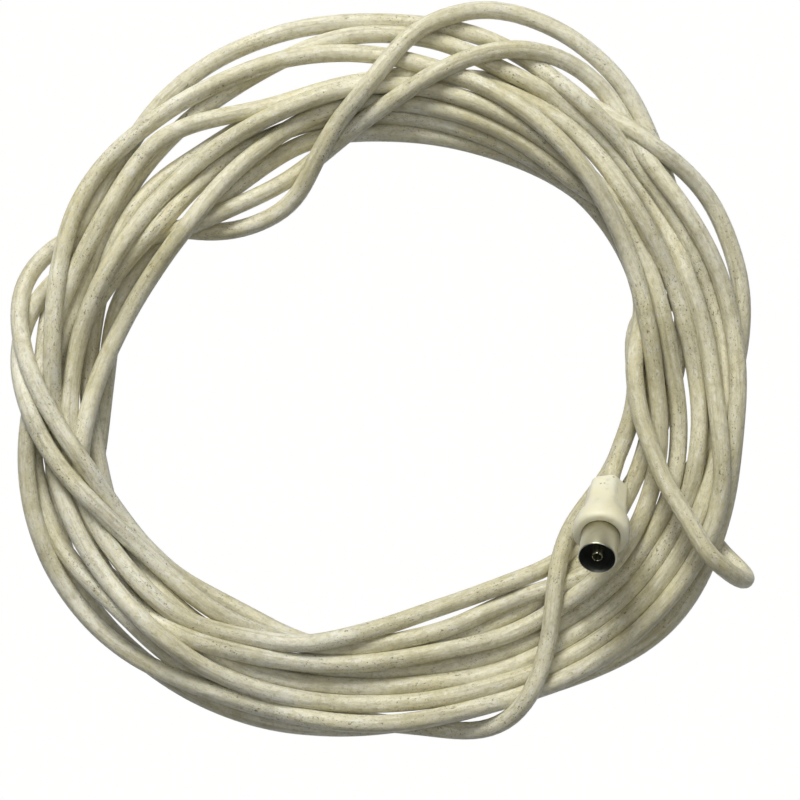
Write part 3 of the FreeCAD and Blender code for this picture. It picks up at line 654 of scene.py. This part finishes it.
def mixed(amount, first, second):
    """One colour into another by an amount."""
    return amount.node("ShaderNodeMix", {"data_type": "RGBA"},
                       {"Factor": amount, "A": first, "B": second}, output="Result")


def colour(red, green, blue):
    """A colour as it looks on a screen, 0 to 255, as linear light."""
    parts = [c / 255 for c in (red, green, blue)]
    return (*(c / 12.92 if c <= 0.04045 else ((c + 0.055) / 1.055) ** 2.4 for c in parts), 1)


def new_finish(name, **constants):
    """A material with a Principled shader, its constants set on the shader's own sockets."""
    material = bpy.data.materials.new(name)
    material.use_nodes = True
    shader = material.node_tree.nodes["Principled BSDF"]
    for key, value in constants.items():
        shader.inputs[key.replace("_", " ")].default_value = value
    return material, Wire(material.node_tree), shader


def feed(shader, **wires):
    """Link worked-out wires to the shader's sockets."""
    for key, wire in wires.items():
        wire.tree.links.new(wire.socket, shader.inputs[key.replace("_", " ")])


def bumped(height, strength, distance):
    """A bumped normal from a height."""
    inputs = {"Strength": strength, "Distance": distance, "Height": height}
    return height.node("ShaderNodeBump", None, inputs)


print("shader tools ready")

# %% [markdown]
# The jacket is old PVC: ivory and a little see-through, gone yellow in places, scuffed along its
# length, and pitted with small dark specks of grime that gather in patches. Streaks read the
# unrolled position, squeezed along the lead, so they run lengthwise round every bend.

# %% Jacket finish
def jacket_finish():
    material, space, shader = new_finish(
        "ivory_pvc", Subsurface_Weight=0.25, Subsurface_Radius=(1.0, 0.80, 0.28),
        Subsurface_Scale=0.0015, IOR=1.45)
    place = space.node("ShaderNodeTexCoord", output="Object")
    rolled = space.node("ShaderNodeAttribute", {"attribute_name": "unrolled"}, output="Vector")
    cloud = place.noise(16.0, 2.0).band(0.38, 0.62)
    yellowed = place.noise(45.0, 3.0).band(0.40, 0.68)
    film = place.noise(170.0, 5.0, 0.65).band(0.46, 0.74)
    streak = rolled.stretched(40.0, 800.0, 800.0).noise(1.0, 3.0, 0.6).band(0.46, 0.72)
    rubbed = rolled.stretched(260.0, 900.0, 900.0).noise(1.0, 4.0, 0.7, 0.3).band(0.48, 0.70)
    mottle = rolled.stretched(520.0, 900.0, 900.0).noise(1.0, 5.0, 0.7, 0.5).band(0.44, 0.70)
    smudge = rolled.stretched(700.0, 1500.0, 1500.0).noise(1.0, 5.0, 0.65, 0.8).band(0.60, 0.72)
    patch = rolled.stretched(60.0, 260.0, 260.0).noise(1.0, 3.0).band(0.44, 0.64)
    blots = rolled.stretched(900.0, 1700.0, 1700.0).noise(1.0, 3.0, 0.6, 0.4).band(0.61, 0.67)
    pits = rolled.stretched(1700.0, 2300.0, 2300.0).noise(1.0, 1.0).band(0.66, 0.72)
    specks = (blots + pits) * (patch * 0.8 + 0.15)
    base = mixed(cloud, colour(234, 231, 211), colour(221, 216, 188))
    base = mixed(yellowed * 0.45, base, colour(200, 190, 138))
    base = mixed(mottle * 0.50, base, colour(172, 165, 126))
    base = mixed(rubbed * 0.55, base, colour(246, 245, 234))
    base = mixed(film * 0.36, base, colour(158, 151, 110))
    base = mixed(streak * 0.42, base, colour(150, 141, 100))
    base = mixed(smudge * 0.50, base, colour(120, 106, 72))
    base = mixed(specks * 0.75, base, colour(78, 65, 44))
    height = rubbed * 0.5 - mottle * 0.4 - streak * 0.3 - smudge * 0.4 - specks
    feed(shader, Base_Color=base, Roughness=film * 0.12 + rubbed * 0.08 + 0.40,
         Normal=bumped(height, 0.5, 0.0002))
    return material


JACKET = jacket_finish()
lead.data.materials.append(JACKET)
print("finish:", JACKET.name, len(JACKET.node_tree.nodes), "nodes")

# %% [markdown]
# ## The moulded connectors
# Both ends are made the same way: an ivory grip moulded on to the jacket, a metal tube for the
# outer contact, a white disc that insulates it, and a centre contact. Each piece is modelled
# standing on its cable entry, with +Z towards its mouth, and is then moved to its place in one
# step that goes into the mesh.

# %% Placing a connector
def upright(entry, way):
    """The matrix that stands +Z along way, with +Y on the upper side."""
    side = way.cross(Vector((0, 0, -1))).normalized()
    upper_side = way.cross(side).normalized()
    turn = Matrix((side, upper_side, way)).transposed().to_4x4()
    return Matrix.Translation(entry) @ turn


SOCKET_PLACE = upright(SOCKET_ENTRY, SOCKET_WAY)
PLUG_PLACE = upright(PLUG_ENTRY, PLUG_WAY)


def set_in_place(piece, place):
    """Move a finished piece, and leave its object unturned at the origin."""
    bpy.ops.object.select_all(action="DESELECT")
    bpy.context.view_layer.objects.active = piece
    piece.select_set(True)
    piece.matrix_world = place
    bpy.ops.object.transform_apply(location=True, rotation=True, scale=True)
    return piece


print("socket place:", [round(c, 4) for c in SOCKET_PLACE.translation])

# %% [markdown]
# A turned piece starts as one circle. The circle is extruded from ring to ring along its outline,
# which is what a lathe does, and the last ring is bridged to the first so that the wall is
# closed.

# %% Turned pieces
def extrude_to(old, new):
    """Extrude the selected ring from one (radius, height) to the next."""
    rise, grow = (new[1] - old[1]) * MM, new[0] / old[0]
    bpy.ops.mesh.extrude_edges_move(TRANSFORM_OT_translate={"value": (0, 0, rise)})
    if grow != 1:
        bpy.ops.transform.resize(value=(grow, grow, 1), center_override=(0, 0, new[1] * MM))


def close_ends():
    """Bridge the first and the last ring of a turned wall."""
    bpy.ops.mesh.select_all(action="DESELECT")
    bpy.ops.mesh.select_non_manifold()
    bpy.ops.mesh.bridge_edge_loops()


def tidy_shape(piece, width, angle=35):
    """Normals outwards, small bevels on the sharp edges, smooth shading."""
    bpy.ops.mesh.select_all(action="SELECT")
    bpy.ops.mesh.remove_doubles(threshold=0.00001)
    bpy.ops.mesh.normals_make_consistent(inside=False)
    bpy.ops.object.mode_set(mode="OBJECT")
    bevel = piece.modifiers.new("edges", "BEVEL")
    bevel.width = width * MM
    bevel.segments = 2
    bevel.limit_method = "ANGLE"
    bevel.angle_limit = math.radians(angle)
    bpy.ops.object.modifier_apply(modifier=bevel.name)
    bpy.ops.object.shade_smooth_by_angle(angle=math.radians(40))


ROUND_SIDES = 64


def turned(name, outline, edge):
    """A closed turned wall from an outline of (radius, height) pairs in millimetres."""
    bpy.ops.object.select_all(action="DESELECT")
    radius, height = outline[0]
    bpy.ops.mesh.primitive_circle_add(vertices=ROUND_SIDES, radius=radius * MM,
                                      location=(0, 0, height * MM))
    piece = bpy.context.active_object
    piece.name = piece.data.name = name
    bpy.ops.object.transform_apply(location=True)
    bpy.ops.object.mode_set(mode="EDIT")
    bpy.ops.mesh.select_mode(type="EDGE")
    bpy.ops.mesh.select_all(action="SELECT")
    for old, new in zip(outline, outline[1:]):
        extrude_to(old, new)
    close_ends()
    tidy_shape(piece, edge)
    return piece


def cut_slots(piece, width, floor, top, count):
    """Saw slots down from the open end of a tube, right across it."""
    for k in range(count):
        bpy.ops.object.select_all(action="DESELECT")
        bpy.ops.mesh.primitive_cube_add(size=1, location=(0, 0, (floor + top + 1) / 2 * MM))
        saw = bpy.context.active_object
        saw.scale = (width * MM, 30 * MM, (top + 1 - floor) * MM)
        saw.rotation_euler = (0, 0, math.pi * k / count)
        bpy.ops.object.transform_apply(location=True, rotation=True, scale=True)
        bpy.ops.object.select_all(action="DESELECT")
        bpy.context.view_layer.objects.active = piece
        piece.select_set(True)
        cut = piece.modifiers.new("slot", "BOOLEAN")
        cut.object = saw
        cut.solver = "EXACT"
        bpy.ops.object.modifier_apply(modifier=cut.name)
        bpy.data.objects.remove(saw)
    bpy.ops.object.shade_smooth_by_angle(angle=math.radians(40))


def outer_contact(name, bore, outer):
    """A drawn tube with a rolled lip, a step near its base and a bright chamfer inside."""
    return turned(name, [
        (bore, 17.05), (outer - 0.05, 17.05), (outer - 0.05, 26.2), (outer, 26.5), (outer, 35.55),
        (outer - 0.12, 35.85), (outer - 0.3, 36.0), (bore + 0.1, 35.95), (bore, 35.75)], edge=0.04)


socket_shell = outer_contact("socket_shell", 4.8, 5.15)
plug_shell = outer_contact("plug_shell", 4.4, 4.75)
cut_slots(plug_shell, 0.6, 29.0, 36.0, 2)
print("outer contacts:", len(socket_shell.data.polygons), len(plug_shell.data.polygons), "faces")

# %% [markdown]
# The insulating disc has a raised boss round the centre contact and a shallow groove, as a
# moulded disc does. The socket's centre contact is a tube slit in four, so that it can grip a
# pin, and the plug's is a pin with a tapered tip.

# %% Insulators and centre contacts
def insulator(name, centre, bore):
    return turned(name, [
        (centre + 0.02, 18.0), (bore - 0.02, 18.0), (bore - 0.02, 21.7), (bore - 0.3, 22.0),
        (bore - 1.0, 22.0), (bore - 1.15, 21.6), (centre + 1.1, 21.6), (centre + 0.95, 22.0),
        (centre + 0.02, 22.0)], edge=0.06)


socket_insulator = insulator("socket_disc", 1.5, 4.8)
plug_insulator = insulator("plug_disc", 1.18, 4.4)

socket_centre = turned("socket_centre", [
    (0.4, 14.0), (1.0, 14.0), (1.0, 18.0), (1.48, 18.0), (1.48, 35.2), (1.3, 35.5), (1.22, 35.42),
    (1.2, 25.0), (0.06, 24.6), (0.06, 15.2), (0.4, 15.0)], edge=0.03)
cut_slots(socket_centre, 0.3, 27.0, 36.0, 2)

plug_centre = turned("plug_centre", [
    (0.4, 14.0), (1.0, 14.0), (1.0, 18.0), (1.17, 18.0), (1.17, 35.1), (0.9, 35.9), (0.5, 36.4),
    (0.06, 36.5), (0.06, 15.2), (0.4, 15.0)], edge=0.03)
print("centres:", len(socket_centre.data.polygons), len(plug_centre.data.polygons), "faces")

# %% [markdown]
# The grip starts as a six-sided ring with its corners rounded. It is extruded towards the mouth
# through a row of stations, each a size, a height and how round it has become: it has a
# crisp rear shoulder, then it runs on as a hexagon with a rounded corner on its upper side, and
# over its forward half it flares into a round rim. The rings then turn inwards and go back down inside,
# for the bore that holds the jacket.

# %% Grips
def ring_radius(piece):
    """The mean distance of the selected ring from the axis, in millimetres."""
    ring = [v.co for v in bmesh.from_edit_mesh(piece.data).verts if v.select]
    return sum(math.hypot(c.x, c.y) for c in ring) / len(ring) / MM


def moulded_grip(name, stations, inside):
    """A hollow grip from outer stations (apothem, height, roundness) and inner rings."""
    bpy.ops.object.select_all(action="DESELECT")
    first = stations[0]
    bpy.ops.mesh.primitive_circle_add(vertices=6, radius=first[0] / math.cos(math.pi / 6) * MM,
                                      location=(0, 0, first[1] * MM))
    piece = bpy.context.active_object
    piece.name = piece.data.name = name
    bpy.ops.object.transform_apply(location=True)
    bpy.ops.object.mode_set(mode="EDIT")
    bpy.ops.mesh.select_mode(type="VERT")
    bpy.ops.mesh.select_all(action="SELECT")
    bpy.ops.mesh.subdivide(number_cuts=3)
    bpy.ops.mesh.select_all(action="DESELECT")
    shape = bmesh.from_edit_mesh(piece.data)
    corner = first[0] / math.cos(math.pi / 6) * MM * 0.99
    for v in shape.verts:
        v.select = math.hypot(v.co.x, v.co.y) > corner
    shape.select_flush_mode()
    bpy.ops.mesh.bevel(offset=1.1 * MM, segments=4, affect="VERTICES")
    bpy.ops.mesh.select_mode(type="EDGE")
    bpy.ops.mesh.select_all(action="SELECT")
    size, height = first[0], first[1]
    for apothem, level, roundness in stations[1:]:
        extrude_to((size, height), (apothem, level))
        if roundness:
            bpy.ops.transform.tosphere(value=roundness)
            if roundness == 1:
                true = ring_radius(piece)
                bpy.ops.transform.resize(value=(apothem / true, apothem / true, 1),
                                         center_override=(0, 0, level * MM))
        size, height = apothem, level
    for radius, level in inside:
        extrude_to((size, height), (radius, level))
        size, height = radius, level
    close_ends()
    tidy_shape(piece, 0.12, 38)
    return piece


SHOULDER = 5.45
INSIDE = [(3.1, 17.0), (3.1, 6.1), (2.54, 5.95), (2.54, SHOULDER + 0.02)]
socket_grip = moulded_grip("socket_grip_moulded", [
    (4.8, SHOULDER, 0), (5.05, 5.6, 0), (5.2, 5.9, 0), (5.25, 6.7, 0), (5.32, 9.0, 0),
    (5.42, 12.0, 0), (5.55, 15.0, 0), (5.8, 17.2, 0.2), (6.25, 19.0, 0.5), (6.9, 20.6, 0.9),
    (7.45, 21.8, 1), (7.72, 23.2, 1), (7.75, 24.6, 1), (7.6, 25.6, 1), (7.2, 26.25, 1),
    (6.7, 26.5, 1), (5.45, 26.5, 1), (5.2, 26.3, 1), (5.17, 17.0, 1)], INSIDE)
plug_grip = moulded_grip("plug_grip_moulded", [
    (4.2, SHOULDER, 0), (4.4, 5.6, 0), (4.55, 5.9, 0), (4.6, 6.7, 0), (4.75, 9.0, 0),
    (4.95, 11.0, 0), (5.15, 14.0, 0), (5.3, 16.2, 0.2), (5.45, 18.2, 0.6), (5.65, 20.2, 1),
    (5.78, 21.8, 1), (5.8, 24.6, 1), (5.7, 25.6, 1), (5.5, 26.25, 1), (5.25, 26.5, 1),
    (4.95, 26.5, 1), (4.78, 26.3, 1), (4.77, 17.0, 1)], INSIDE)
print("grips:", len(socket_grip.data.polygons), len(plug_grip.data.polygons), "faces")

# %% [markdown]
# Three short ribs cross the upper side of the socket's grip for the fingers. They are set low, so
# the grip's rounded corner covers their middles and only their ends stand out, by 0.2 mm. One
# bar is shaped and rounded, the other two are copies with their own mesh, and they are joined to
# the grip.

# %% Finger ribs
RIB_SIZE = (3.2, 0.7, 0.7)
RIB_PLACES = [(8.2, 5.12), (10.4, 5.19), (12.6, 5.27)]


def finger_rib(height, rise):
    """A small bar across the grip, rounded at its edges."""
    bpy.ops.object.select_all(action="DESELECT")
    bpy.ops.mesh.primitive_cube_add(size=1, location=(0, rise * MM, height * MM))
    rib = bpy.context.active_object
    rib.scale = [side * MM for side in RIB_SIZE]
    bpy.ops.object.transform_apply(location=True, scale=True)
    bevel = rib.modifiers.new("round", "BEVEL")
    bevel.width, bevel.segments = 0.22 * MM, 3
    bpy.ops.object.modifier_apply(modifier=bevel.name)
    bpy.ops.object.shade_smooth()
    return rib


def copied(piece, shift):
    """A copy with its own mesh, moved by a shift in millimetres."""
    copy = piece.copy()
    copy.data = piece.data.copy()
    copy.data.transform(Matrix.Translation(Vector(shift) * MM))
    bpy.context.scene.collection.objects.link(copy)
    return copy


first_height, first_rise = RIB_PLACES[0]
ribs = [finger_rib(first_height, first_rise)]
for height, rise in RIB_PLACES[1:]:
    ribs.append(copied(ribs[0], (0, rise - first_rise, height - first_height)))
bpy.ops.object.select_all(action="DESELECT")
for piece in (socket_grip, *ribs):
    piece.select_set(True)
bpy.context.view_layer.objects.active = socket_grip
bpy.ops.object.join()
print("ribs joined:", len(socket_grip.data.polygons), "faces")

# %% [markdown]
# The grip is the same kind of PVC as the jacket but moulded: smoother, warmer and cleaner, with a
# few specks and grime rubbed into it here and there.

# %% Grip finish
def grip_finish():
    material, space, shader = new_finish(
        "moulded_ivory", Subsurface_Weight=0.3, Subsurface_Radius=(1.0, 0.75, 0.4),
        Subsurface_Scale=0.002, IOR=1.45)
    place = space.node("ShaderNodeTexCoord", output="Object")
    cloud = place.noise(90.0, 3.0).band(0.35, 0.65)
    scuff = place.stretched(500.0, 1500.0, 500.0).noise(1.0, 4.0, 0.65).band(0.55, 0.75)
    grime = place.noise(240.0, 4.0, 0.6).band(0.56, 0.72)
    specks = 1 - place.node("ShaderNodeTexVoronoi", {"feature": "F1"},
                            {"Vector": place, "Scale": 420.0}).band(0.10, 0.17)
    sparse = place.noise(170.0, 1.0).band(0.52, 0.60)
    base = mixed(cloud, colour(238, 234, 208), colour(231, 225, 192))
    base = mixed(grime * 0.20, base, colour(190, 178, 134))
    base = mixed(scuff * 0.20, base, colour(240, 236, 220))
    base = mixed(specks * sparse * 0.6, base, colour(110, 92, 66))
    feed(shader, Base_Color=base, Roughness=scuff * 0.15 + 0.40,
         Normal=bumped(place.noise(700.0, 3.0) * 0.6 + scuff * 0.4, 0.15, 0.0002))
    return material


GRIP = grip_finish()
for piece in (socket_grip, plug_grip):
    piece.data.materials.append(GRIP)
print("finish:", GRIP.name)

# %% [markdown]
# The contacts are nickel-plated brass: a warm grey metal, rubbed duller along its length by years
# of plugging in, with small stains. Inside, the socket's tube is a flatter grey as painted shade, and
# the shader finds the inside by its distance from the tube's axis. The disc is white polythene.

# %% Metal and disc finishes
def metal_finish(name, tint, stain, roughness, axis=None, bore=0.0):
    """Metal with stains and rubbing; inside a bore about an axis it gets a painted shade of grey."""
    material, space, shader = new_finish(name, Metallic=1.0)
    place = space.node("ShaderNodeTexCoord", output="Object")
    stains = place.noise(300.0, 4.0, 0.6).band(0.50, 0.75)
    rub = place.stretched(900.0, 900.0, 2600.0).noise(1.0, 3.0, 0.6).band(0.40, 0.75)
    base = mixed(stains * 0.35, tint, stain)
    if axis:
        away = place.node("ShaderNodeVectorMath", {"operation": "SUBTRACT"},
                          {0: place, 1: tuple(axis[0])})
        across = place.node("ShaderNodeVectorMath", {"operation": "CROSS_PRODUCT"},
                            {0: away, 1: tuple(axis[1])})
        reach = place.node("ShaderNodeVectorMath", {"operation": "LENGTH"}, {0: across},
                           output="Value")
        # Painted shade: inside the bore the metal turns a flatter grey, standing in for shadow in the
        # tube.
        base = mixed(1 - reach.band(bore, bore + 0.0001), base, colour(150, 154, 150))
    feed(shader, Base_Color=base, Roughness=rub * 0.14 + stains * 0.10 + roughness,
         Normal=bumped(rub + stains, 0.08, 0.0001))
    return material


def plastic_finish(name, tint, shade, roughness, scale):
    material, space, shader = new_finish(name, Subsurface_Weight=0.2, Subsurface_Scale=0.001)
    place = space.node("ShaderNodeTexCoord", output="Object")
    cloud = place.noise(scale, 3.0).band(0.35, 0.70)
    grain = place.noise(scale * 9, 3.0)
    feed(shader, Base_Color=mixed(cloud * 0.7, tint, shade), Roughness=grain * 0.2 + roughness,
         Normal=bumped(grain, 0.12, 0.0001))
    return material


NICKEL = metal_finish("nickel_plate", colour(200, 196, 168), colour(170, 162, 130), 0.30)
# The socket's tube carries a painted shade inside its bore.
SOCKET_NICKEL = metal_finish("nickel_tube", colour(178, 174, 148), colour(156, 151, 124), 0.36,
                             (SOCKET_ENTRY, SOCKET_WAY), 4.95 * MM)
COPPER = metal_finish("bright_copper", colour(205, 128, 88), colour(150, 84, 52), 0.28)
TIN = metal_finish("solder_tin", colour(190, 192, 194), colour(138, 140, 142), 0.30)
DISC = plastic_finish("white_disc", colour(232, 230, 220), colour(206, 202, 186), 0.40, 260.0)
FOAM = plastic_finish("polythene", colour(238, 238, 232), colour(222, 222, 212), 0.45, 300.0)
FILLER = plastic_finish("inner_filler", colour(216, 214, 204), colour(190, 186, 170), 0.50, 240.0)

for piece, finish in ((socket_shell, SOCKET_NICKEL), (plug_shell, NICKEL), (socket_insulator, DISC),
                      (plug_insulator, DISC), (socket_centre, NICKEL), (plug_centre, NICKEL)):
    piece.data.materials.append(finish)
print("metal and disc finishes on 6 pieces")

# %% [markdown]
# The layers hidden in the grips are right as they were packed, so those nodes stay, and only
# their finishes change: copper for the core and the braid, tin for the solder and the crimp, and
# white plastic for the rest.

# %% Packed layers
LAYERS = {"crimp_ring": TIN, "inner_mould": FILLER, "solder": TIN, "braid": COPPER,
          "dielectric": FOAM, "core": COPPER}
for end in ("socket", "plug"):
    for layer, finish in LAYERS.items():
        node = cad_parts[end + "_" + layer]
        node.data.materials.clear()
        node.data.materials.append(finish)
print("packed layers kept:", 2 * len(LAYERS))

# %% [markdown]
# ## Putting it on the frame
# Each connector's pieces go to their place in one step. Then every piece rides on the one body
# and stands in for its imported node, which is hidden.

# %% Place and ride
REPLACED = [
    (socket_grip, SOCKET_PLACE, "socket_grip", "grip_pvc"),
    (socket_shell, SOCKET_PLACE, "socket_outer_contact", "nickel"),
    (socket_insulator, SOCKET_PLACE, "socket_insulator", "polythene"),
    (socket_centre, SOCKET_PLACE, "socket_centre_contact", "nickel"),
    (plug_grip, PLUG_PLACE, "plug_grip", "grip_pvc"),
    (plug_shell, PLUG_PLACE, "plug_outer_contact", "nickel"),
    (plug_insulator, PLUG_PLACE, "plug_insulator", "polythene"),
    (plug_centre, PLUG_PLACE, "plug_centre_pin", "nickel"),
]
for piece, place, node, slot_name in REPLACED:
    set_in_place(piece, place)
    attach(piece, "root")
    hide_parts(node)
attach(lead, "root")
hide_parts("coil", "socket_lead", "plug_lead")
print("pieces placed:", len(REPLACED) + 1)

# %% [markdown]
# The lead leaves the socket's cable entry and ends in the plug under the turns. The plug's pieces
# are gathered in one list: the four made here and the names of its packed layers.

plug_pieces = [plug_grip, plug_shell, plug_insulator, plug_centre]
plug_pieces += ["plug_" + layer for layer in LAYERS]
